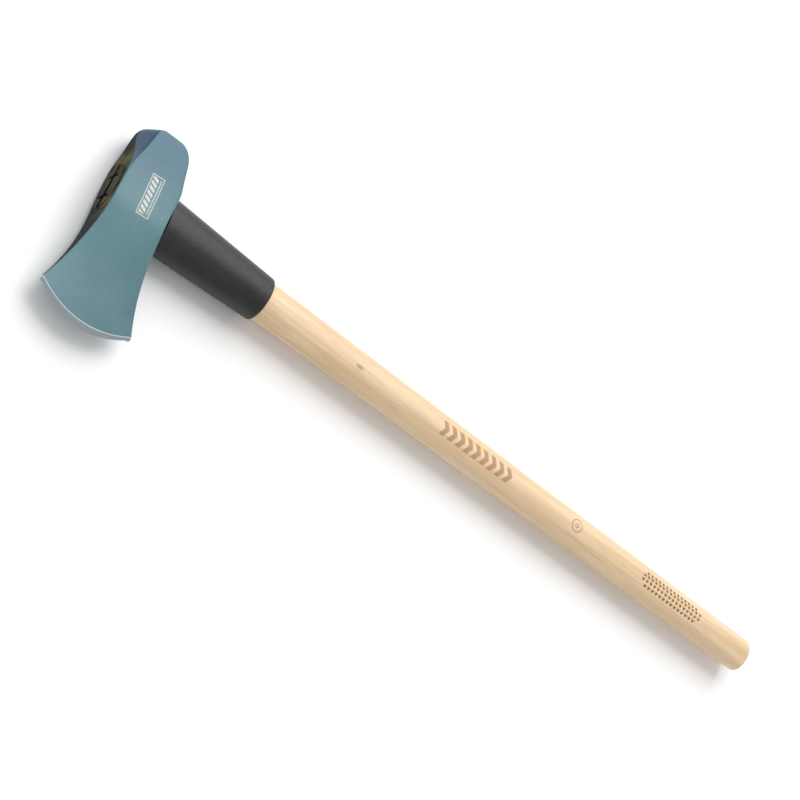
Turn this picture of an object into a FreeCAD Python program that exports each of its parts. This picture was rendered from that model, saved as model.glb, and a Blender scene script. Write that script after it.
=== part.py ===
"""Splitting maul: forged head, hickory handle, overstrike collar and the wedges that hold them.

Each piece is drawn in the maul's own axes: X runs down the handle from the top of the eye, Y points
out of the poll, and Z is square to the flat mid-plane of the tool. A Placement then lays the whole
tool on its side, with the middle of its footprint at the origin. Lengths are in millimetres.
"""
import FreeCAD, Part
import math
import os
import Sketcher

doc = FreeCAD.newDocument("SplittingMaul")
sheet = doc.addObject("Spreadsheet::Sheet", "Sizes")

SIZES = [
    # where the maul's own axes sit in the assembly
    ("place_x", -448.0),
    ("place_y", 31.9),
    ("place_z", 24.4),
    ("zero", 0.0),
    # head, side view
    ("poll_reach", 74.0),
    ("poll_top_y", 60.0),
    ("poll_top_radius", 13.6),
    ("face_start_x", 13.0),
    ("face_end_x", 36.0),
    ("poll_bottom_x", 60.4),
    ("poll_bottom_y", 50.0),
    ("poll_bottom_radius", 24.8),
    ("top_shoulder_y", 28.0),
    ("bottom_shoulder_y", 22.0),
    ("eye_depth", 61.4),
    ("top_flare_radius", 230.0),
    ("bottom_flare_y", 10.0),
    ("bottom_flare_radius", 280.0),
    ("toe_rise", 18.0),
    ("toe_y", 121.3),
    ("heel_depth", 92.6),
    ("heel_y", 120.9),
    ("bit_radius", 100.0),
    ("trim_reach", 170.0),
    # head, the blank that the side view is trimmed from
    ("blank_top", 30.0),
    ("blank_bottom", 110.0),
    ("blank_centre", 40.0),
    # poll corners, as a share of the cheek (x) and of the top or bottom side (z)
    ("corner_cut_x", 10.0),
    ("corner_cut_z", 22.0),
    ("corner_fade_x", -0.5),
    ("corner_fade_z", -1.1),
    ("corner_margin_x", 3.0),
    ("corner_margin_z", 6.6),
    ("poll_rim_round", 3.0),
    ("rim_from_y", 68.0),
    # sharpened edge, as radii and half thicknesses about the centre of the edge's arc
    ("edge_centre_x", 37.1),
    ("edge_centre_y", 37.8),
    ("bevel_outer_radius", 103.0),
    ("bevel_outer_half", 0.78),
    ("bevel_inner_radius", 73.0),
    ("bevel_inner_half", 10.0),
    ("bevel_clear", 20.0),
    ("bevel_sweep", 150.0),
    # eye, half axes at its top and just past its underside
    ("eye_top_x", 1.0),
    ("eye_top_long", 26.5),
    ("eye_top_short", 17.0),
    ("eye_low_x", 64.0),
    ("eye_low_long", 25.0),
    ("eye_low_short", 15.6),
    # handle, half axes at stations down its length
    ("neck_x", 194.0),
    ("neck_long", 21.4),
    ("neck_short", 18.0),
    ("waist_x", 400.0),
    ("waist_long", 20.1),
    ("waist_short", 16.9),
    ("grip_x", 650.0),
    ("grip_long", 19.8),
    ("grip_short", 16.6),
    ("butt_x", 914.0),
    ("butt_long", 19.3),
    ("butt_short", 16.2),
    ("butt_round", 4.0),
    # collar
    ("collar_gap", 0.1),
    ("collar_head_long", 31.3),
    ("collar_head_short", 23.2),
    ("collar_end_long", 24.5),
    ("collar_end_short", 21.6),
    ("collar_rim_round", 2.2),
    ("seat_clear_x", 40.0),
    ("seat_low_x", 67.1),
    ("seat_low_y", 60.0),
    # wedges
    ("wood_wedge_depth", 48.0),
    ("wood_wedge_top_half", 3.0),
    ("wood_wedge_tip_half", 0.6),
    ("wood_wedge_clear", 24.0),
    ("steel_wedge_y", 12.0),
    ("steel_wedge_depth", 22.0),
    ("steel_wedge_top_half", 1.6),
    ("steel_wedge_tip_half", 0.4),
    ("steel_wedge_half_width", 10.0),
]

# Stations along the head from poll to edge: name, distance from the handle's axis towards the edge,
# half thickness at the middle of the cheek, and half thickness at its upper and lower borders.
STATIONS = [
    ("blank_end", -150.0, 24.4, 22.8),
    ("past_poll", -124.0, 24.4, 22.8),
    ("poll_clear", -98.0, 24.4, 22.8),
    ("poll_face", -72.0, 24.4, 22.8),
    ("poll_root", -42.0, 24.4, 22.8),
    ("eye_poll_side", -10.0, 24.0, 22.4),
    ("eye_bit_side", 16.0, 22.8, 19.6),
    ("web_a", 34.0, 18.8, 14.2),
    ("web_b", 52.0, 14.4, 8.4),
    ("web_c", 74.0, 9.7, 3.4),
    ("web_d", 98.0, 6.2, 1.9),
    ("edge", 137.0, 2.4, 0.7),
    ("past_edge", 155.0, 1.7, 0.5),
]

for station, along, middle, border in STATIONS:
    SIZES += [(station + "_at", along), (station + "_mid", middle), (station + "_border", border)]

for row, (alias, number) in enumerate(SIZES, start=1):
    sheet.set(f"A{row}", alias)
    sheet.set(f"B{row}", str(number))
    sheet.setAlias(f"B{row}", alias)
doc.recompute()


# ---- helpers: a term is a sum of named cells, such as "poll_bottom - corner_cut" ----

def size(term):
    """The number that a term stands for."""
    total, sign = 0.0, 1
    for word in term.split():
        if word in "+-":
            sign = 1 if word == "+" else -1
        else:
            total += sign * float(getattr(sheet, word))
            sign = 1
    return total


def cell(term):
    """The same term as an expression that follows the sheet."""
    return " ".join(word if word in "+-" else "Sizes." + word for word in term.split())


def new_body(label):
    """A body in the maul's own axes, laid down in the assembly by its Placement."""
    body = doc.addObject("PartDesign::Body", label)
    body.Label = label
    for axis in "xyz":
        body.setExpression("Placement.Base." + axis, "Sizes.place_" + axis)
    return body


def new_sketch(body, name, plane, **offset):
    """A sketch on one of the body's origin planes, moved along the sketch's own x, y or z."""
    sketch = body.newObject("Sketcher::SketchObject", name)
    support = [f for f in body.Origin.OriginFeatures if f.Role == plane][0]
    sketch.AttachmentSupport = [(support, "")]
    sketch.MapMode = "FlatFace"
    for axis, term in offset.items():
        sketch.setExpression("AttachmentOffset.Base." + axis, cell(term))
    return sketch


def drive(sketch, term, *constraint):
    """Add a constraint whose value follows the sheet."""
    index = sketch.addConstraint(Sketcher.Constraint(*constraint, size(term)))
    sketch.setExpression(f"Constraints[{index}]", cell(term))


def pin(sketch, geometry, end, point):
    """Fix one end of a line or arc at (x term, y term) from the sketch's origin."""
    for kind, axis_line, term in (("DistanceX", -2, point[0]), ("DistanceY", -1, point[1])):
        if term == "":
            sketch.addConstraint(Sketcher.Constraint("PointOnObject", geometry, end, axis_line))
        else:
            drive(sketch, term, kind, -1, 1, geometry, end)


def add_between(sketch, edge, start, here, there):
    """Add a line or arc and pin its ends; an arc may number its ends the other way round."""
    number = sketch.addGeometry(edge, False)
    forward = sketch.getPoint(number, 1).isEqual(start, 1e-6)
    pin(sketch, number, 1 if forward else 2, here)
    pin(sketch, number, 2 if forward else 1, there)
    return number


def outline(sketch, points, arcs=None):
    """A closed outline through the points. arcs maps a side's number to (radius term, bulge), with
    bulge +1 to the left of the way from its first point to its second, and -1 to the right."""
    arcs = arcs or {}
    for side, here in enumerate(points):
        there = points[(side + 1) % len(points)]
        start = FreeCAD.Vector(size(here[0]), size(here[1]), 0)
        finish = FreeCAD.Vector(size(there[0]), size(there[1]), 0)
        if side in arcs:
            radius, bulge = size(arcs[side][0]), arcs[side][1]
            chord = finish - start
            left = FreeCAD.Vector(-chord.y, chord.x, 0).normalize()
            sagitta = radius - math.sqrt(radius**2 - chord.Length**2 / 4)
            middle = (start + finish) * 0.5 + left * (bulge * sagitta)
            edge = Part.Arc(start, middle, finish)
        else:
            edge = Part.LineSegment(start, finish)
        number = add_between(sketch, edge, start, here, there)
        if side in arcs:
            drive(sketch, arcs[side][0], "Radius", number)


def oval(body, name, station_x, half_long, half_short):
    """An ellipse square to the handle at one station: long axis on Y, short axis on Z."""
    sketch = new_sketch(body, name, "YZ_Plane", z=station_x)
    centre = FreeCAD.Vector(0, 0, 0)
    long_end = FreeCAD.Vector(size(half_long), 0, 0)
    short_end = FreeCAD.Vector(0, size(half_short), 0)
    sketch.addGeometry(Part.Ellipse(long_end, short_end, centre), False)
    sketch.exposeInternalGeometry(0)
    sketch.addConstraint(Sketcher.Constraint("Coincident", 0, 3, -1, 1))
    sketch.addConstraint(Sketcher.Constraint("Horizontal", 1))
    drive(sketch, half_long + " + " + half_long, "Distance", 1, 1, 1, 2)
    drive(sketch, half_short + " + " + half_short, "Distance", 2, 1, 2, 2)
    return sketch


def loft(body, name, sketches, kind="AdditiveLoft"):
    """A loft through the sketches, added to the body or, as a SubtractiveLoft, cut from it."""
    before = body.Tip.Shape.Volume if kind == "SubtractiveLoft" else 0.0
    feature = body.newObject("PartDesign::" + kind, name)
    feature.Profile = sketches[0]
    feature.Sections = sketches[1:]
    doc.recompute()
    if kind == "SubtractiveLoft":
        check_cut(feature, before)
    return feature


def cut_through(body, name, sketch):
    """A pocket from the sketch both ways through everything."""
    before = body.Tip.Shape.Volume
    feature = body.newObject("PartDesign::Pocket", name)
    feature.Profile = sketch
    feature.SideType = "Symmetric"
    feature.Type = "ThroughAll"
    doc.recompute()
    check_cut(feature, before)
    return feature


def check_cut(feature, before):
    """A cut that misses the solid shows no error, so its volume is compared."""
    if before - feature.Shape.Volume < 1.0:
        raise RuntimeError(feature.Name + " cuts nothing")


def edges_where(shape, test):
    """The names of the edges whose bounding box passes the test."""
    return [f"Edge{n}" for n, edge in enumerate(shape.Edges, start=1) if test(edge.BoundBox)]


def dress(body, kind, name, base, edges, term):
    """A fillet or chamfer on the named edges of the body's last feature."""
    feature = body.newObject("PartDesign::" + kind, name)
    feature.Base = (base, edges)
    feature.setExpression("Radius" if kind == "Fillet" else "Size", cell(term))
    doc.recompute()
    return feature


# ---- maul head: one steel forging ----

def head_blank(body):
    """Over-wide blade and poll, lofted through the stations from the poll to past the edge."""
    sections = []
    for station, *_ in STATIONS:
        sketch = new_sketch(body, "Blank_" + station, "XZ_Plane", z=station + "_at")
        top, bottom = "- blank_top", "blank_bottom"
        corners = [
            (top, station + "_border"),
            (top, "- " + station + "_border"),
            (bottom, "- " + station + "_border"),
            (bottom, station + "_border"),
        ]
        bulged_section(sketch, corners, station + "_mid")
        sections.append(sketch)
    return loft(body, "Blank", sections)


def bulged_section(sketch, corners, crown):
    """Two straight borders joined by two shallow arcs whose crowns stand `crown` from the middle."""
    points = [FreeCAD.Vector(size(x), size(z), 0) for x, z in corners]
    low_crown = ("blank_centre", "- " + crown)
    high_crown = ("blank_centre", crown)
    for side, (here, there) in enumerate(zip(corners, corners[1:] + corners[:1])):
        start, finish = points[side], points[(side + 1) % 4]
        if side % 2 == 0:
            add_between(sketch, Part.LineSegment(start, finish), start, here, there)
            continue
        top = low_crown if side == 1 else high_crown
        middle = FreeCAD.Vector(size(top[0]), size(top[1]), 0)
        number = add_between(sketch, Part.Arc(start, middle, finish), start, here, there)
        point = sketch.addGeometry(Part.Point(middle), True)
        pin(sketch, point, 1, top)
        sketch.addConstraint(Sketcher.Constraint("PointOnObject", point, 1, number))


def trim_to_side_view(body):
    """Cut away all that lies outside the head's side view."""
    sketch = new_sketch(body, "SideView", "XY_Plane")
    outline(
        sketch,
        [
            ("face_start_x", "poll_reach"),
            ("", "poll_top_y"),
            ("", ""),
            ("- toe_rise", "- toe_y"),
            ("heel_depth", "- heel_y"),
            ("eye_depth", "bottom_flare_y"),
            ("eye_depth", "bottom_shoulder_y"),
            ("poll_bottom_x", "poll_bottom_y"),
            ("face_end_x", "poll_reach"),
        ],
        {
            0: ("poll_top_radius", -1),
            2: ("top_flare_radius", +1),
            3: ("bit_radius", -1),
            4: ("bottom_flare_radius", +1),
            7: ("poll_bottom_radius", -1),
        },
    )
    outline(
        sketch,
        [
            ("- trim_reach", "- trim_reach"),
            ("trim_reach", "- trim_reach"),
            ("trim_reach", "trim_reach"),
            ("- trim_reach", "trim_reach"),
        ],
    )
    return cut_through(body, "SideTrim", sketch)


def poll_corner(body, name, x, shoulder_y, side_x, side_z):
    """Cut one long corner of the poll: a wide chamfer at the face that fades out at the shoulder.
    x is the term of the side it is cut from; side_x and side_z are "+" or "-", the way that leads
    out of the head."""
    stations = (("poll_reach", "corner_cut"), (shoulder_y, "corner_fade"))
    in_x = "-" if side_x == "+" else "+"
    in_z = "-" if side_z == "+" else "+"
    half = "poll_root_border"
    sketches = []
    for along, cut in stations:
        sketch = new_sketch(body, f"{name}_{cut}", "XZ_Plane", z="- " + along)
        corner_z = f"{side_z} {half}"
        out_x = f"{x} {side_x} corner_margin_x"
        out_z = f"{corner_z} {side_z} corner_margin_z"
        outline(
            sketch,
            [
                (f"{x} {in_x} {cut}_x {in_x} corner_margin_x", out_z),
                (out_x, f"{corner_z} {in_z} {cut}_z {in_z} corner_margin_z"),
                (out_x, out_z),
            ],
        )
        sketches.append(sketch)
    return loft(body, name, sketches, "SubtractiveLoft")


def grind_edge(body):
    """The sharpened bevel: a cone about the centre of the edge's arc, on both cheeks."""
    for side, sign in (("Upper", ""), ("Lower", "- ")):
        sketch = new_sketch(
            body, side + "Bevel", "YZ_Plane", x="- edge_centre_y", z="edge_centre_x"
        )
        opposite = "- " if sign == "" else ""
        outline(
            sketch,
            [
                ("- bevel_outer_radius", opposite + "bevel_outer_half"),
                ("- bevel_inner_radius", sign + "bevel_inner_half"),
                ("- bevel_inner_radius", sign + "bevel_clear"),
                ("- bevel_outer_radius", sign + "bevel_clear"),
            ],
        )
        before = body.Tip.Shape.Volume
        groove = body.newObject("PartDesign::Groove", side + "Grind")
        groove.Profile = sketch
        groove.ReferenceAxis = (sketch, ["V_Axis"])
        groove.Midplane = True
        groove.setExpression("Angle", cell("bevel_sweep"))
        doc.recompute()
        check_cut(groove, before)


def eye_sections(body):
    """The two ovals of the tapered eye, which the tenon and the wooden wedge also fill."""
    return [
        oval(body, "EyeTop", "- eye_top_x", "eye_top_long", "eye_top_short"),
        oval(body, "EyeLow", "eye_low_x", "eye_low_long", "eye_low_short"),
    ]


def make_head():
    body = new_body("maul_head")
    head_blank(body)
    trim_to_side_view(body)
    for name, way in (("Near", "+"), ("Far", "-")):
        poll_corner(body, "Top" + name, "zero", "top_shoulder_y", "-", way)
        poll_corner(body, "Bottom" + name, "eye_depth", "bottom_shoulder_y", "+", way)
    rim = edges_where(
        body.Tip.Shape,
        lambda box: box.YMin > size("rim_from_y") and box.XLength > 1.0,
    )
    dress(body, "Fillet", "PollRim", body.Tip, rim, "poll_rim_round")
    grind_edge(body)
    loft(body, "Eye", eye_sections(body), "SubtractiveLoft")
    return body


# ---- handle: one length of hickory, tenon to butt ----

def neck_sections(body):
    """The two ovals of the neck inside the collar, which the collar's bore also follows."""
    return [
        oval(body, "NeckTop", "eye_low_x", "eye_low_long", "eye_low_short"),
        oval(body, "NeckEnd", "neck_x", "neck_long", "neck_short"),
    ]


def wedge_outline(sketch, top_half, tip_half, depth, centre=""):
    """A tapered wedge seen along its width, driven in down the handle's axis or a line beside it."""
    plus = f"{centre} + " if centre else ""
    minus = f"{centre} - " if centre else "- "
    top_x, tip_x = "- eye_top_x - eye_top_x", depth
    outline(
        sketch,
        [
            (top_x, plus + top_half),
            (tip_x, plus + tip_half),
            (tip_x, minus + tip_half),
            (top_x, minus + top_half),
        ],
    )


def kerf(body, name):
    """The slot that the wooden wedge opens along the tenon."""
    sketch = new_sketch(body, name + "View", "XZ_Plane")
    wedge_outline(sketch, "wood_wedge_top_half", "wood_wedge_tip_half", "wood_wedge_depth")
    return cut_through(body, name, sketch)


def steel_wedge_slot(body, name, centre):
    """The cut that a small steel wedge makes across the tenon."""
    sketch = new_sketch(body, name + "View", "XY_Plane")
    wedge_outline(
        sketch, "steel_wedge_top_half", "steel_wedge_tip_half", "steel_wedge_depth", centre
    )
    before = body.Tip.Shape.Volume
    slot = body.newObject("PartDesign::Pocket", name)
    slot.Profile = sketch
    slot.SideType = "Symmetric"
    slot.setExpression("Length", cell("steel_wedge_half_width + steel_wedge_half_width"))
    doc.recompute()
    check_cut(slot, before)
    return slot


STEEL_WEDGES = [
    ("steel_wedge_poll_side", "steel_wedge_y"),
    ("steel_wedge_bit_side", "- steel_wedge_y"),
]


def make_handle():
    body = new_body("handle")
    loft(body, "Tenon", eye_sections(body))
    loft(body, "Neck", neck_sections(body))
    shaft = [
        oval(body, "ShaftTop", "neck_x", "neck_long", "neck_short"),
        oval(body, "Waist", "waist_x", "waist_long", "waist_short"),
        oval(body, "Grip", "grip_x", "grip_long", "grip_short"),
        oval(body, "Butt", "butt_x", "butt_long", "butt_short"),
    ]
    loft(body, "Shaft", shaft)
    end = size("butt_x")
    rim = edges_where(body.Tip.Shape, lambda box: box.XMin > end - 0.1)
    dress(body, "Fillet", "ButtRound", body.Tip, rim, "butt_round")
    kerf(body, "Kerf")
    for label, centre in STEEL_WEDGES:
        steel_wedge_slot(body, label + "_slot", centre)
    return body


# ---- wedges ----

def make_wood_wedge():
    """The wooden wedge fills the kerf from wall to wall of the eye."""
    body = new_body("wood_wedge")
    loft(body, "EyeFill", eye_sections(body))
    for side, sign in (("Near", ""), ("Far", "- ")):
        sketch = new_sketch(body, side + "SideView", "XZ_Plane")
        top_x = "- eye_top_x - eye_top_x"
        past_x = "eye_low_x + eye_top_x"
        outline(
            sketch,
            [
                (top_x, sign + "wood_wedge_top_half"),
                ("wood_wedge_depth", sign + "wood_wedge_tip_half"),
                ("wood_wedge_depth", "- wood_wedge_clear" if sign == "" else "wood_wedge_clear"),
                (past_x, "- wood_wedge_clear" if sign == "" else "wood_wedge_clear"),
                (past_x, sign + "wood_wedge_clear"),
                (top_x, sign + "wood_wedge_clear"),
            ],
        )
        cut_through(body, side + "Side", sketch)
    for label, centre in STEEL_WEDGES:
        steel_wedge_slot(body, label + "_slot", centre)
    return body


def make_steel_wedge(label, centre):
    """A small steel wedge driven across the grain, flush with the tenon's end."""
    body = new_body(label)
    sketch = new_sketch(body, label + "_view", "XY_Plane")
    outline(
        sketch,
        [
            ("- eye_top_x", f"{centre} + steel_wedge_top_half"),
            ("steel_wedge_depth", f"{centre} + steel_wedge_tip_half"),
            ("steel_wedge_depth", f"{centre} - steel_wedge_tip_half"),
            ("- eye_top_x", f"{centre} - steel_wedge_top_half"),
        ],
    )
    pad = body.newObject("PartDesign::Pad", label + "_pad")
    pad.Profile = sketch
    pad.SideType = "Symmetric"
    pad.setExpression("Length", cell("steel_wedge_half_width + steel_wedge_half_width"))
    doc.recompute()
    return body


# ---- overstrike collar: a moulded sleeve driven up the neck ----

def make_collar():
    body = new_body("overstrike_collar")
    outer = [
        oval(body, "OuterHead", "eye_depth + collar_gap", "collar_head_long", "collar_head_short"),
        oval(body, "OuterEnd", "neck_x", "collar_end_long", "collar_end_short"),
    ]
    loft(body, "Sleeve", outer)
    loft(body, "NeckBore", neck_sections(body), "SubtractiveLoft")
    loft(body, "TenonBore", eye_sections(body), "SubtractiveLoft")
    seat = new_sketch(body, "SeatView", "XY_Plane")
    outline(
        seat,
        [
            ("eye_depth + collar_gap", "bottom_flare_y"),
            ("seat_clear_x", "bottom_flare_y"),
            ("seat_clear_x", "- seat_low_y"),
            ("seat_low_x", "- seat_low_y"),
        ],
    )
    cut_through(body, "Seat", seat)
    end, bore = size("neck_x"), size("neck_long")
    rim = edges_where(
        body.Tip.Shape, lambda box: box.XMin > end - 0.1 and box.YMax > bore + 1
    )
    dress(body, "Fillet", "RimRound", body.Tip, rim, "collar_rim_round")
    return body


PIECES = [make_head(), make_handle(), make_collar(), make_wood_wedge()]
PIECES += [make_steel_wedge(label, centre) for label, centre in STEEL_WEDGES]

doc.recompute()
for item in doc.Objects:
    if "Invalid" in item.State or "Error" in item.State:
        raise RuntimeError(f"{item.Name} failed: {item.State}")
for piece in PIECES:
    shape = piece.Shape
    if shape.isNull() or not shape.isValid() or len(shape.Solids) != 1:
        raise RuntimeError(piece.Label + " is not one valid solid")

os.makedirs("parts", exist_ok=True)
for piece in PIECES:
    piece.Shape.exportStep(f"parts/{piece.Label}.step")
    print(piece.Label, round(piece.Shape.Volume / 1000, 1), "cm3", piece.Shape.BoundBox)
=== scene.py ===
"""A splitting maul lying on its side: forged head, hickory handle, overstrike collar and wedges."""
import math

import bmesh
import bpy
from mathutils import Matrix, Vector


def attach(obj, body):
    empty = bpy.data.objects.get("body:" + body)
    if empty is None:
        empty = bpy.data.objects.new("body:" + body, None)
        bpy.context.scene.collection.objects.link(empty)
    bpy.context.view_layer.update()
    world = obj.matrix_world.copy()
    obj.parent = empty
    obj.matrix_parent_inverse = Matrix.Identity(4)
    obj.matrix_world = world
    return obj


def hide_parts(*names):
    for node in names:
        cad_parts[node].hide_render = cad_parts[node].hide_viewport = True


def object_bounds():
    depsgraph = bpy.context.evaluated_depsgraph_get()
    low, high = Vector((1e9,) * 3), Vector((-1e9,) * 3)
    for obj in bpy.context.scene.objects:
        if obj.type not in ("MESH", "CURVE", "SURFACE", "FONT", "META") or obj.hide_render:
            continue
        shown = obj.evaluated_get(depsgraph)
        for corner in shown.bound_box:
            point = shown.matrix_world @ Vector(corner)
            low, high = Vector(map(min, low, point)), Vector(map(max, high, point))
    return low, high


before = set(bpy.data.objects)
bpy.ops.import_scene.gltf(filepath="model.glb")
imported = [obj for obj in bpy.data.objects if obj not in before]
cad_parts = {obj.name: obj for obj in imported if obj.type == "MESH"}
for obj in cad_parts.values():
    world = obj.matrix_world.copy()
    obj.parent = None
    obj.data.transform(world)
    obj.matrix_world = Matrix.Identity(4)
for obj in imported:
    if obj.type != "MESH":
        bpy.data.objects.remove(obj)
cad_low, cad_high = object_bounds()


# ---- Camera ----
# The maul is seen from above its cutting edge and a little from the head end, with the handle
# running down to the lower right. A long lens keeps the butt nearly as large as the neck.

TURN = math.radians(25.45)      # how far the view swings towards the head end
LEAN = math.radians(25.99)      # how far it leans over towards the cutting edge
ROLL = math.radians(36.70)      # how far the handle runs downhill across the frame
DISTANCE = 2.468
AIM = Vector((-0.05107, 0.04692, -0.00008))

to_camera = Vector(
    (
        -math.sin(TURN),
        -math.sin(LEAN) * math.cos(TURN),
        math.cos(LEAN) * math.cos(TURN),
    )
)
along = (Vector((1, 0, 0)) - to_camera * to_camera.x).normalized()
across = to_camera.cross(along)
right = along * math.cos(ROLL) + across * math.sin(ROLL)
up = to_camera.cross(right)

lens = bpy.data.cameras.new("camera")
lens.lens = 106.5
lens.sensor_width = 36.0
camera = bpy.data.objects.new("camera", lens)
bpy.context.collection.objects.link(camera)
camera.matrix_world = Matrix.Translation(AIM + to_camera * DISTANCE) @ Matrix(
    (right, up, to_camera)
).transposed().to_4x4()
bpy.context.scene.camera = camera
bpy.context.scene.view_settings.view_transform = "Standard"


# ---- Floor and light ----
# A seamless white table under one large softbox overhead, towards the poll side, with a weaker
# sheet of light low on that side and an even white room all round.

class Value:
    """A shader socket that takes part in Python arithmetic; each operation adds a Math node."""

    def __init__(self, output):
        self.output = output

    def chain(self, operation, *terms):
        tree = self.output.node.id_data
        node = tree.nodes.new("ShaderNodeMath")
        node.operation = operation
        for slot, term in zip(node.inputs, terms):
            plug(slot, term)
        return Value(node.outputs[0])

    def math(self, operation, *others):
        return self.chain(operation, self, *others)

    def __add__(self, other):
        return self.math("ADD", other)

    def __sub__(self, other):
        return self.math("SUBTRACT", other)

    def __rsub__(self, other):
        return self.chain("SUBTRACT", other, self)

    def __mul__(self, other):
        return self.math("MULTIPLY", other)

    def __lt__(self, other):
        return self.math("LESS_THAN", other)

    def __gt__(self, other):
        return self.math("GREATER_THAN", other)

    __radd__ = __add__
    __rmul__ = __mul__


def plug(slot, term):
    """Give an input socket a link or a plain value."""
    if isinstance(term, Value):
        term.output.node.id_data.links.new(term.output, slot)
    else:
        slot.default_value = term


class Finish:
    """A node material with a Principled surface."""

    def __init__(self, name, **surface):
        self.material = bpy.data.materials.new(name)
        self.material.use_nodes = True
        self.tree = self.material.node_tree
        self.surface = self.tree.nodes["Principled BSDF"]
        self.set(**surface)

    def set(self, **surface):
        for name, term in surface.items():
            plug(self.surface.inputs[name.replace("_", " ")], term)

    def node(self, kind, settings=None, inputs=None, output=0):
        """Any node: its type, its settings, then the values or links of its sockets."""
        node = self.tree.nodes.new("ShaderNode" + kind)
        for name, value in (settings or {}).items():
            setattr(node, name, value)
        for name, term in (inputs or {}).items():
            plug(node.inputs[name], term)
        return Value(node.outputs[output])

    def place(self, scale=(1, 1, 1), location=(0, 0, 0), rotation=(0, 0, 0)):
        """Object coordinates, scaled, moved and turned for a pattern."""
        point = self.node("TexCoord", output="Object")
        settings = {"Vector": point, "Scale": scale, "Location": location, "Rotation": rotation}
        return self.node("Mapping", inputs=settings)

    def noise(self, vector, scale, detail=3.0, roughness=0.5, distortion=0.0):
        sockets = {
            "Vector": vector,
            "Scale": scale,
            "Detail": detail,
            "Roughness": roughness,
            "Distortion": distortion,
        }
        return self.node("TexNoise", inputs=sockets)

    def between(self, value, low, high, to_low=0.0, to_high=1.0):
        """Map a value from low..high to to_low..to_high, held at both ends."""
        sockets = {"Value": value, 1: low, 2: high, 3: to_low, 4: to_high}
        return self.node("MapRange", {"clamp": True}, sockets)

    def mix(self, factor, first, second):
        """Two colours mixed by a factor."""
        sockets = {0: factor, 6: first, 7: second}
        return self.node("Mix", {"data_type": "RGBA"}, sockets, output=2)

    def bump(self, height, distance, strength=1.0, normal=None):
        sockets = {"Height": height, "Distance": distance, "Strength": strength}
        if normal:
            sockets["Normal"] = normal
        return self.node("Bump", inputs=sockets)


bpy.ops.mesh.primitive_plane_add(size=14, location=(0, 0, cad_low[2] - 0.0003))
floor = bpy.context.object
floor.name = "floor"
paper = Finish("seamless_paper", Roughness=0.85)
paper_tone = paper.between(paper.noise(paper.place(), 3.0), 0.3, 0.7)
paper.set(Base_Color=paper.mix(paper_tone, (0.93, 0.93, 0.93, 1), (0.95, 0.95, 0.95, 1)))
floor.data.materials.append(paper.material)


def softbox(name, direction, distance, size, power):
    """A square area light that faces the middle of the maul."""
    light = bpy.data.lights.new(name, "AREA")
    light.size = size
    light.energy = power
    lamp = bpy.data.objects.new(name, light)
    away = Vector(direction).normalized()
    lamp.location = away * distance
    lamp.rotation_euler = away.to_track_quat("Z", "Y").to_euler()
    bpy.context.collection.objects.link(lamp)


softbox("overhead_softbox", (-0.02, 0.58, 0.82), 3.2, 2.6, 78)
softbox("poll_side_sheet", (0.10, 0.90, 0.42), 3.4, 1.2, 12)

room = bpy.data.worlds.new("white_room")
room.use_nodes = True
backdrop = room.node_tree.nodes["Background"]
backdrop.inputs["Color"].default_value = (1.0, 1.0, 1.0, 1)
backdrop.inputs["Strength"].default_value = 0.64
bpy.context.scene.world = room


# ---- Maul head ----
# One drop forging in carbon steel: a hammer poll, a tapered eye and a blade that flares to a curved
# bit. It is dipped in blue-grey lacquer, and both sides of the bit are then ground bare.

def tool_point(x, y, z):
    """A place in the frame from millimetres on the maul's own axes: down the handle from the top
    of the eye, towards the poll, and square to the mid-plane."""
    return Vector((x - 448.0, y + 31.9, z + 24.4)) / 1000


def only(piece):
    """Deselect everything else and make this the active object."""
    bpy.ops.object.select_all(action="DESELECT")
    piece.select_set(True)
    bpy.context.view_layer.objects.active = piece


def along_line(places, at):
    """A value read off a list of (place, value) pairs, straight from one to the next."""
    for (start, low), (end, high) in zip(places, places[1:]):
        if at <= end:
            break
    return low + (high - low) * (at - start) / (end - start)


# half thickness of the cheek at its middle, and 70 mm either side of it, from the poll to the bit
CHEEK_MIDDLE = [(-90, 24.4), (-42, 24.4), (-10, 24.0), (16, 22.8), (34, 18.8), (52, 14.4)]
CHEEK_MIDDLE += [(74, 9.7), (98, 6.2), (137, 2.4), (155, 1.7)]
CHEEK_BORDER = [(-90, 22.8), (-42, 22.8), (-10, 22.4), (16, 19.6), (34, 14.2), (52, 8.4)]
CHEEK_BORDER += [(74, 3.4), (98, 1.9), (137, 0.7), (155, 0.5)]
# the poll seen from the side: its ridges on the mid-plane, and the borders of its cheeks, which a
# long facet on each corner draws in
TOP_RIDGE = [(0, 0), (41, -0.3), (50, -1.4), (60, -2.0), (66.5, -0.9), (70.3, 1.4), (72.6, 4.2)]
TOP_RIDGE += [(73.6, 7), (74, 11)]
TOP_BORDER = [(26, 0), (41, 3.3), (50, 5.4), (60, 7), (66.5, 7.8), (70.3, 9.2), (72.6, 12)]
TOP_BORDER += [(73.6, 15), (74, 19)]
BOTTOM_RIDGE = [(24, 61.4), (50, 61.4), (60, 60), (66.5, 56.6), (70.3, 52.6), (72.6, 48.4)]
BOTTOM_RIDGE += [(73.6, 44.6), (74, 40)]
BOTTOM_BORDER = [(20, 61.4), (31, 59.5), (41, 57.3), (50, 55.5), (60, 53.4), (66.5, 49.8)]
BOTTOM_BORDER += [(70.3, 45.6), (72.6, 41.4), (73.6, 37.6), (74, 33)]
BIT_RADIUS = 100.0
BIT_CENTRE_X = 37.1
TOE_X, HEEL_X = -18.0, 92.6
COLUMNS = 9


def cheek_half(x, y):
    middle = along_line(CHEEK_MIDDLE, -y)
    return middle - (middle - along_line(CHEEK_BORDER, -y)) * ((x - 40.0) / 70.0) ** 2


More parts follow.
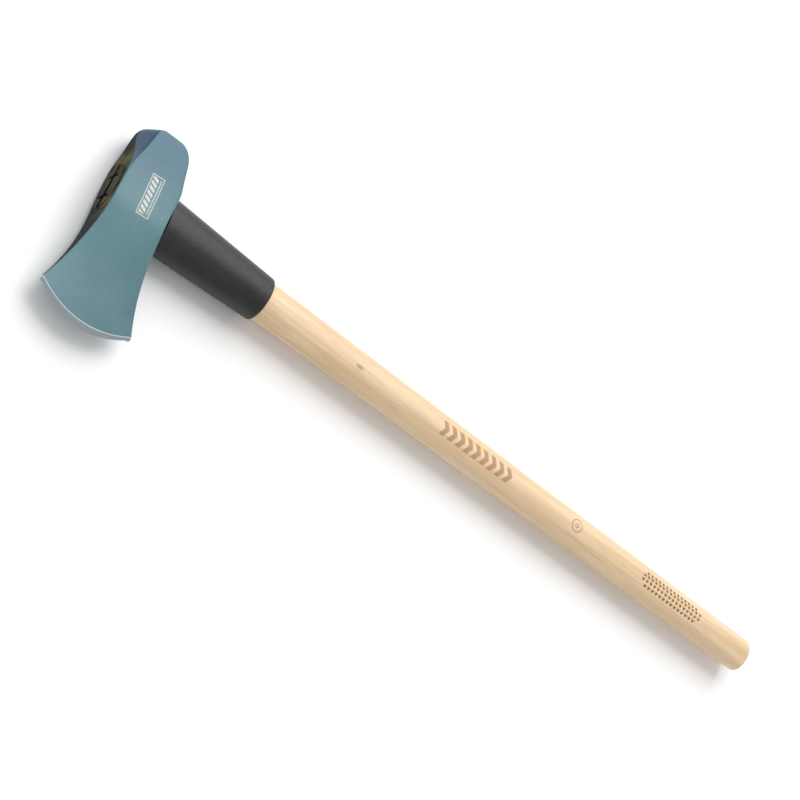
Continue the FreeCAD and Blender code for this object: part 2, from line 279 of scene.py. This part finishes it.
def top_edge(y, poll_line):
    """The head's upper outline: the poll, and the flare that sweeps forward to the toe."""
    if y > 0.0:
        return along_line(poll_line, max(y, poll_line[0][0]))
    fullness = 0.9 * math.sin(math.pi * min(-y, 118.0) / 118.0)
    return max(TOE_X + 0.3, math.sqrt(230.0**2 - (y + 26.5) ** 2) - 228.5 - fullness)


def bottom_edge(y, poll_line):
    """The lower outline: the poll, the eye's underside, and the flare to the heel."""
    if y > 10.0:
        return along_line(poll_line, max(y, poll_line[0][0]))
    fullness = 0.8 * math.sin(math.pi * min(max(-y - 10.0, 0.0), 108.0) / 108.0)
    return min(HEEL_X, 341.4 - math.sqrt(280.0**2 - (y - 10.0) ** 2) + fullness)


def bit_drop(share):
    """How far the edge falls back towards the poll, at a share of the way from toe to heel."""
    x = TOE_X + (HEEL_X - TOE_X) * share
    return BIT_RADIUS - math.sqrt(BIT_RADIUS**2 - (x - BIT_CENTRE_X) ** 2)


def border_group(edge, ridge_line, border_line, y, inward, narrow):
    """Four points that turn the corner from the side of the head to its cheek, over the facet
    where there is one and over a small rounding where there is none."""
    ridge, border = edge(y, ridge_line), edge(y, border_line)
    half = cheek_half(border, y) - narrow
    facet = min(0.62 * max(0.0, y - 28.0), 20.0)
    soft = min(2.2, 0.8 * half)
    return [
        (ridge, y, max(half - facet - soft, 0.12 * half)),
        (ridge + inward * 0.12 * soft, y, max(half - facet - 0.45 * soft, 0.2 * half)),
        (border + inward * 0.45 * soft, y, half - 0.12 * soft),
        (border + inward * soft, y, half),
    ]


def head_section(y, bend, narrow):
    """A closed loop of points round the head at a distance y from the handle's axis. bend bows the
    loop to the bit's arc, and narrow draws its cheeks in at the poll's rounded end."""
    toe_y, heel_y = y + bend * bit_drop(0.0), y + bend * bit_drop(1.0)
    upper = border_group(top_edge, TOP_RIDGE, TOP_BORDER, toe_y, 1, narrow)
    lower = border_group(bottom_edge, BOTTOM_RIDGE, BOTTOM_BORDER, heel_y, -1, narrow)
    left, right = upper[-1][0], lower[-1][0]
    cheek = []
    for column in range(1, COLUMNS + 1):
        share = column / (COLUMNS + 1)
        x, at = left + (right - left) * share, y + bend * bit_drop(share)
        cheek.append((x, at, cheek_half(x, at) - narrow))
    side = upper + cheek + lower[::-1]
    (top_x, top_y, _), (bottom_x, bottom_y, _) = side[0], side[-1]
    loop = [(top_x, top_y, 0.0)] + side + [(bottom_x, bottom_y, 0.0)]
    return loop + [(x, at, -z) for x, at, z in reversed(side)]


POLL_RINGS = [(74.0, 2.2), (73.6, 0.7), (72.6, 0.1), (70.3, 0.0), (66.5, 0.0), (60.0, 0.0)]
EYE_RINGS = [50.0, 41.0, 31.0, 21.0, 10.0, -2.0, -14.0, -26.0]
BLADE_RINGS = [(-38, 0.02), (-50, 0.06), (-62, 0.13), (-74, 0.22), (-86, 0.33), (-98, 0.47)]
BLADE_RINGS += [(-109, 0.62), (-119, 0.76), (-126.5, 0.87), (-130.6, 0.94)]
GRIND_LINE = (-131.6, 0.93)
# the ground bevel: place, bend, share of the grind line's thickness, and share of its length
BEVEL_RINGS = [(-132.1, 0.935, 0.93, 0.997), (-135.2, 0.96, 0.46, 0.984)]
BEVEL_RINGS += [(-137.4, 1.0, 0.12, 0.955), (-138.1, 1.02, 0.0, 0.91)]

rings = [head_section(y, 0.0, narrow) for y, narrow in POLL_RINGS]
rings += [head_section(y, 0.0, 0.0) for y in EYE_RINGS]
rings += [head_section(y, bend, 0.0) for y, bend in BLADE_RINGS]
grind_ring = head_section(*GRIND_LINE, 0.0)
rings.append(grind_ring)
for y, bend, thick, long in BEVEL_RINGS:
    section = head_section(y, bend, 0.0)
    rings.append(
        [
            (BIT_CENTRE_X + (x - BIT_CENTRE_X) * long, at, thick * line[2])
            for (x, at, _), line in zip(section, grind_ring)
        ]
    )
LOOP = len(grind_ring)

bpy.ops.object.select_all(action="DESELECT")
bpy.ops.mesh.primitive_circle_add(vertices=LOOP, radius=0.02, fill_type="NGON")
head = bpy.context.object
head.name = "forged_head"
bpy.ops.object.mode_set(mode="EDIT")
for number, ring in enumerate(rings):
    if number:
        bpy.ops.mesh.extrude_region_move()
    shape = bmesh.from_edit_mesh(head.data)
    shape.verts.ensure_lookup_table()
    for corner, point in zip(shape.verts[-LOOP:], ring):
        corner.co = tool_point(*point)
    bmesh.update_edit_mesh(head.data)
for face in shape.faces:
    nearest = min(corner.index for corner in face.verts) // LOOP
    face.material_index = max(0, min(2, nearest - rings.index(grind_ring) + 1))
bpy.ops.mesh.delete(type="ONLY_FACE")
bpy.ops.mesh.select_all(action="SELECT")
bpy.ops.mesh.remove_doubles(threshold=0.00004)
bpy.ops.mesh.normals_make_consistent(inside=False)
bpy.ops.object.mode_set(mode="OBJECT")

only(head)
bpy.ops.object.modifier_add(type="SUBSURF")
rounding = head.modifiers[-1]
rounding.levels = rounding.render_levels = 3
bpy.ops.object.modifier_apply(modifier=rounding.name)


def oval_rod(name, stations, around=96):
    """A closed oval rod down the handle's axis, extruded and rescaled from station to station.
    A station is its distance down the axis and its half axes along Y and Z, in mm."""
    bpy.ops.object.select_all(action="DESELECT")
    (x, long, short), *rest = stations
    bpy.ops.mesh.primitive_circle_add(
        vertices=around,
        radius=0.001,
        fill_type="NGON",
        location=tool_point(x, 0, 0),
        rotation=(0, math.pi / 2, 0),
    )
    rod = bpy.context.object
    rod.name = name
    bpy.ops.object.transform_apply()
    bpy.ops.object.mode_set(mode="EDIT")
    bpy.ops.transform.resize(value=(1, long, short), center_override=tool_point(x, 0, 0))
    for end, end_long, end_short in rest:
        step = {"value": ((end - x) / 1000, 0, 0)}
        bpy.ops.mesh.extrude_region_move(TRANSFORM_OT_translate=step)
        growth = (1, end_long / long, end_short / short)
        bpy.ops.transform.resize(value=growth, center_override=tool_point(end, 0, 0))
        x, long, short = end, end_long, end_short
    bpy.ops.mesh.select_all(action="SELECT")
    bpy.ops.mesh.normals_make_consistent(inside=False)
    bpy.ops.object.mode_set(mode="OBJECT")
    return rod


def cut_with(piece, cutter):
    """Cut a piece. The new faces keep the cutter's finish, and the cutter is removed."""
    only(piece)
    bpy.ops.object.modifier_add(type="BOOLEAN")
    cut = piece.modifiers[-1]
    cut.object = cutter
    cut.operation = "DIFFERENCE"
    cut.solver = "EXACT"
    cut.material_mode = "TRANSFER"
    bpy.ops.object.modifier_apply(modifier=cut.name)
    bpy.data.objects.remove(cutter)


EYE_TOP = (-1.0, 26.5, 17.0)
EYE_LOW = (64.0, 25.0, 15.6)

lacquer = Finish("blue_grey_lacquer", Coat_Roughness=0.25, Specular_IOR_Level=0.35)
place = lacquer.node("SeparateXYZ", inputs={"Vector": lacquer.place()})
down_handle, to_poll, off_floor = (Value(socket) for socket in place.output.node.outputs)
normal = lacquer.node("NewGeometry", output="Normal")
facing = lacquer.node("SeparateXYZ", inputs={"Vector": normal})
face_x, _, face_z = (Value(socket) for socket in facing.output.node.outputs)
blotches = lacquer.noise(lacquer.place(), 34.0, 5.0, 0.6)
speckle = lacquer.noise(lacquer.place(), 700.0, 2.0, 0.5)
# painted shade: the lacquer is made darker and bluer towards the poll and darker and greener
# towards the heel, standing in for the cheek's shading
poll_painted_shade = lacquer.between(to_poll, 0.03, 0.08)
heel_painted_shade = lacquer.between(down_handle - to_poll * 0.35, -0.43, -0.345)
tone = lacquer.mix(poll_painted_shade, (0.112, 0.225, 0.262, 1), (0.052, 0.135, 0.200, 1))
tone = lacquer.mix(heel_painted_shade * 0.8, tone, (0.062, 0.150, 0.172, 1))
tone = lacquer.mix(lacquer.between(blotches, 0.35, 0.7, 0.0, 0.25), tone, (0.15, 0.27, 0.29, 1))
tone = lacquer.mix(lacquer.between(speckle, 0.45, 0.75, 0.0, 0.3), tone, (0.05, 0.11, 0.14, 1))
# painted shade: faces turned towards the top side over the eye, near the poll, are painted a darker
# blue for the shade they lie in
poll_facet_painted_shade = lacquer.between(0 - face_x, 0.35, 0.6) * lacquer.between(to_poll, 0.05, 0.075)
tone = lacquer.mix(poll_facet_painted_shade, tone, (0.020, 0.066, 0.120, 1))

# painted shade and reflection: the side round the top of the eye is painted near black for the
# shade it lies in, with painted olive-brown reflections near the handle
top_side_painted_shade = lacquer.between(face_z.math("ABSOLUTE"), 0.36, 0.20) * (face_x < -0.4)
olive_reflection_mottle = lacquer.between(lacquer.noise(lacquer.place(), 55.0, 4.0, 0.6), 0.40, 0.62)
near_eye = lacquer.between(to_poll, 0.085, 0.066) * lacquer.between(to_poll, -0.01, 0.01)
top_side_shade_tone = lacquer.mix(olive_reflection_mottle * near_eye, (0.006, 0.010, 0.011, 1), (0.085, 0.085, 0.022, 1))
tone = lacquer.mix(top_side_painted_shade, tone, top_side_shade_tone)

# a pale printed badge on the upper cheek: a thin frame round a row of slanting bars and a row of
# short strokes
BADGE_WIDE, BADGE_LONG, BADGE_LINE = 0.0072, 0.0222, 0.0009
BAR_PITCH, BAR_WIDTH = 0.0054, 0.0036
STROKE_PITCH, STROKE_WIDTH = 0.0024, 0.0014
badge = lacquer.place(location=(0.4113, -0.0678, 0), rotation=(0, 0, math.radians(-4)))
badge_place = lacquer.node("SeparateXYZ", inputs={"Vector": badge})
width, length = (Value(socket) for socket in badge_place.output.node.outputs[:2])
wide, long = width.math("ABSOLUTE"), length.math("ABSOLUTE")
frame_line = (wide < BADGE_WIDE) * (long < BADGE_LONG)
frame_line = frame_line - (wide < BADGE_WIDE - BADGE_LINE) * (long < BADGE_LONG - BADGE_LINE)
slant = length + width * 0.5 + 1.0
bar_row = (width > -0.0051) * (width < 0.0015) * (long < 0.0200)
bars = bar_row * (slant.math("MODULO", BAR_PITCH) < BAR_WIDTH)
stroke_row = (width > 0.0031) * (width < 0.0050) * (long < 0.0195)
strokes = stroke_row * ((length + 1.0).math("MODULO", STROKE_PITCH) < STROKE_WIDTH)
print_share = (frame_line + bars + strokes) * (off_floor > 0.036)
tone = lacquer.mix(print_share * 0.75, tone, (0.72, 0.70, 0.62, 1))
lacquer.set(Base_Color=tone)
# the painted-shade side is also given a rougher surface with no coat
lacquer.set(Roughness=lacquer.between(blotches, 0.3, 0.7, 0.40, 0.52) + top_side_painted_shade * 0.35)
lacquer.set(Coat_Weight=0.2 - top_side_painted_shade * 0.2)
peel = lacquer.bump(lacquer.noise(lacquer.place(), 260.0, 3.0, 0.55), 0.00012, 0.35)
lacquer.set(Normal=peel)

ground = Finish("ground_bare_steel", Metallic=1.0, Roughness=0.38)
streaks = ground.noise(ground.place(scale=(240, 30, 60)), 6.0, 4.0, 0.6)
ground.set(Base_Color=ground.mix(streaks, (0.30, 0.36, 0.41, 1), (0.46, 0.52, 0.57, 1)))
ground.set(Roughness=ground.between(streaks, 0.3, 0.7, 0.30, 0.46))
ground.set(Normal=ground.bump(streaks, 0.00005, 0.4))

burr = Finish("fresh_ground_corner", Metallic=1.0, Roughness=0.25)
burr_grain = burr.noise(burr.place(), 300.0)
burr.set(Base_Color=burr.mix(burr_grain, (0.74, 0.80, 0.82, 1), (0.92, 0.96, 0.98, 1)))

bore = Finish("bare_forged_bore", Metallic=0.8, Roughness=0.6)
scale_patches = bore.noise(bore.place(), 120.0, 4.0)
bore.set(Base_Color=bore.mix(scale_patches, (0.05, 0.045, 0.04, 1), (0.14, 0.12, 0.10, 1)))

for finish in (lacquer, burr, ground):
    head.data.materials.append(finish.material)
punch = oval_rod("eye_punch", [EYE_TOP, EYE_LOW])
punch.data.materials.append(bore.material)
cut_with(head, punch)
only(head)
bpy.ops.object.shade_smooth_by_angle(angle=math.radians(28))
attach(head, "root")
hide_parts("maul_head")


# ---- Handle ----
# One length of hickory, turned oval and sanded: a tapered tenon in the eye, a straight shaft and a
# rounded butt. Rows of pits are burnt in at the grip, with a band of chevrons and a ring above.

tenon = [EYE_TOP, EYE_LOW]
shaft = [(194.0, 21.4, 18.0), (297.0, 20.7, 17.4), (400.0, 20.1, 16.9), (525.0, 19.9, 16.7)]
shaft += [(700.0 + 8 * step, 19.73 - 0.0132 * step, 16.52 - 0.0105 * step) for step in range(20)]
butt = [(910.0, 19.3, 16.2), (911.6, 18.95, 15.85), (912.9, 18.1, 15.0), (913.7, 16.9, 13.8)]
butt += [(914.0, 15.3, 12.2)]
handle = oval_rod("hickory_handle", tenon + shaft + butt)

# each row of pits: its turn round the handle, the distance of its first pit, and its count
PIT_ROWS = [(20, 745.0, 14), (8, 740.5, 16), (-7, 740.0, 16), (-23, 746.0, 14)]
PIT_PITCH, PIT_RADIUS = 5.93, 0.0024
# half axes of the oval that the middles of the burning tips lie on, a little outside the wood
TIP_LONG, TIP_SHORT = 20.9, 17.75
pits = []
for turn, first, count in PIT_ROWS:
    for step in range(count):
        x = first + PIT_PITCH * step
        angle = math.radians(turn)
        pit_y, pit_z = TIP_LONG * math.sin(angle), TIP_SHORT * math.cos(angle)
        bpy.ops.mesh.primitive_ico_sphere_add(
            subdivisions=2, radius=PIT_RADIUS, location=tool_point(x, pit_y, pit_z)
        )
        pits.append(bpy.context.object)
bpy.ops.object.select_all(action="DESELECT")
for pit in pits:
    pit.select_set(True)
bpy.context.view_layer.objects.active = pits[0]
bpy.ops.object.join()
burner = bpy.context.object
bpy.ops.object.transform_apply()

char = Finish("charred_wood", Roughness=0.85)
char_grain = char.noise(char.place(), 500.0)
char.set(Base_Color=char.mix(char_grain, (0.26, 0.14, 0.060, 1), (0.42, 0.26, 0.130, 1)))

wood = Finish("lacquered_hickory", Coat_Roughness=0.3)
place = wood.node("SeparateXYZ", inputs={"Vector": wood.place()})
x, y, z = (Value(socket) for socket in place.output.node.outputs)
bands = wood.noise(wood.place(scale=(1.3, 34, 34)), 2.2, 5.0, 0.55, 0.6)
rings = wood.noise(wood.place(scale=(4, 190, 190)), 2.0, 4.0, 0.6, 0.3)
pores = wood.noise(wood.place(scale=(26, 900, 900)), 1.3, 2.0, 0.7)
figure = wood.noise(wood.place(scale=(9, 60, 60)), 1.1, 3.0, 0.6, 1.2)
tone = wood.mix(wood.between(bands, 0.34, 0.66), (0.78, 0.60, 0.385, 1), (0.67, 0.465, 0.265, 1))
tone = wood.mix(wood.between(figure, 0.48, 0.75, 0.0, 0.5), tone, (0.86, 0.68, 0.46, 1))
tone = wood.mix(wood.between(rings, 0.50, 0.72, 0.0, 0.45), tone, (0.56, 0.33, 0.155, 1))
tone = wood.mix(wood.between(pores, 0.60, 0.78, 0.0, 0.55), tone, (0.36, 0.20, 0.09, 1))

# a small knot on the upper side of the shaft
UPPER_SIDE = 0.030
knot_x, knot_y = (x + 0.1305) * 0.45, y - 0.0295
knot_far = (knot_x * knot_x + knot_y * knot_y).math("SQRT")
knot_share = wood.between(knot_far, 0.0030, 0.0010) * (z > UPPER_SIDE)
tone = wood.mix(knot_share * 0.7, tone, (0.36, 0.185, 0.08, 1))

# the burnt band: chevrons that point to the butt, and a ring round a small lozenge
CHEVRON_PITCH, CHEVRON_WIDTH, CHEVRON_HALF = 0.0115, 0.0062, 0.0082
side_y = y - 0.0318
off_axis = side_y.math("ABSOLUTE")
march = x + off_axis * 0.55 + 1.0
chevrons = (march.math("MODULO", CHEVRON_PITCH) < CHEVRON_WIDTH) * (x > -0.0145) * (x < 0.087)
chevrons = chevrons * (off_axis < CHEVRON_HALF) * (z > UPPER_SIDE)
ring_x, ring_y = x - 0.186, y - 0.0332
ring_far = (ring_x * ring_x + ring_y * ring_y).math("SQRT")
ring = (ring_far > 0.0063) * (ring_far < 0.0075)
lozenge_far = ring_x.math("ABSOLUTE") + ring_y.math("ABSOLUTE")
lozenge = (lozenge_far < 0.0034) - (lozenge_far < 0.0019)
burn_share = chevrons + (ring + lozenge) * (z > UPPER_SIDE)
tone = wood.mix(burn_share * 0.8, tone, (0.36, 0.195, 0.090, 1))

# end grain: darker, and on the tenon's end painted nearly black-brown as painted shade for the dark
# side of the head it lies in
tenon_end_painted_shade = x < -0.4475
tenon_end_mottle = wood.between(wood.noise(wood.place(), 90.0, 4.0, 0.6), 0.35, 0.65)
tone = wood.mix(tenon_end_painted_shade, tone, wood.mix(tenon_end_mottle, (0.010, 0.009, 0.004, 1), (0.058, 0.050, 0.018, 1)))
butt_end = wood.between(x, 0.4645, 0.4660)
end_rings = wood.noise(wood.place(scale=(30, 160, 420)), 3.0, 3.0, 0.6)
end_tone = wood.mix(end_rings, (0.50, 0.31, 0.15, 1), (0.70, 0.50, 0.29, 1))
tone = wood.mix(butt_end * 0.8, tone, end_tone)
wood.set(Base_Color=tone)
dull = burn_share * 0.2 + tenon_end_painted_shade * 0.35
wood.set(Roughness=wood.between(bands, 0.3, 0.7, 0.42, 0.54) + dull)
wood.set(Coat_Weight=0.2 - tenon_end_painted_shade * 0.2)
grain = wood.bump(pores, 0.00005, 0.35)
wood.set(Normal=wood.bump(1 - burn_share, 0.0003, 0.5, normal=grain))

handle.data.materials.append(wood.material)
burner.data.materials.append(char.material)
cut_with(handle, burner)

# the tenon is sawn and opened where the three wedges sit
for node in ("wood_wedge", "steel_wedge_poll_side", "steel_wedge_bit_side"):
    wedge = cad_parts[node].copy()
    wedge.data = wedge.data.copy()
    wedge.data.materials.clear()
    wedge.data.materials.append(wood.material)
    bpy.context.collection.objects.link(wedge)
    only(wedge)
    bpy.ops.object.mode_set(mode="EDIT")
    bpy.ops.mesh.select_all(action="SELECT")
    bpy.ops.mesh.remove_doubles(threshold=0.00001)
    bpy.ops.mesh.normals_make_consistent(inside=False)
    bpy.ops.object.mode_set(mode="OBJECT")
    cut_with(handle, wedge)
only(handle)
bpy.ops.object.shade_smooth_by_angle(angle=math.radians(28))
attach(handle, "root")
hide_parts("handle")


# ---- Overstrike collar ----
# A moulded sleeve of black polymer pushed up the neck of the handle against the head. It takes the
# knocks when a blow overshoots; its surface is finely spark-textured with a soft sheen.

def dress(node, finish):
    """Give a carried-over solid its finish in place of its plain one."""
    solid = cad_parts[node]
    solid.data.materials.clear()
    solid.data.materials.append(finish.material)


polymer = Finish("black_polymer", Specular_IOR_Level=0.42)
texture = polymer.noise(polymer.place(), 420.0, 4.0, 0.65)
scuffs = polymer.noise(polymer.place(scale=(1, 3, 3)), 26.0, 5.0, 0.62)
black = polymer.mix(texture, (0.006, 0.006, 0.008, 1), (0.020, 0.020, 0.023, 1))
black = polymer.mix(polymer.between(scuffs, 0.5, 0.75, 0.0, 0.4), black, (0.036, 0.037, 0.041, 1))
polymer.set(Base_Color=black)
polymer.set(Roughness=polymer.between(texture, 0.3, 0.7, 0.34, 0.50))
polymer.set(Normal=polymer.bump(texture, 0.0004, 0.45))
dress("overstrike_collar", polymer)


# ---- Wedges ----
# A hardwood wedge opens the tenon along the eye, and two small steel wedges are driven across it;
# all three are sawn off flush and darkened by oil.

kiln_dark = Finish("oiled_wedge_wood", Roughness=0.7)
wedge_grain = kiln_dark.noise(kiln_dark.place(scale=(8, 300, 120)), 2.0, 4.0, 0.6)
kiln_dark.set(
    Base_Color=kiln_dark.mix(wedge_grain, (0.045, 0.024, 0.012, 1), (0.11, 0.062, 0.032, 1))
)
dress("wood_wedge", kiln_dark)

dark_steel = Finish("mill_finish_steel", Metallic=1.0)
wear = dark_steel.noise(dark_steel.place(), 260.0, 4.0, 0.6)
dark_steel.set(Base_Color=dark_steel.mix(wear, (0.16, 0.15, 0.14, 1), (0.36, 0.35, 0.33, 1)))
dark_steel.set(Roughness=dark_steel.between(wear, 0.3, 0.7, 0.4, 0.65))
dress("steel_wedge_poll_side", dark_steel)
dress("steel_wedge_bit_side", dark_steel)
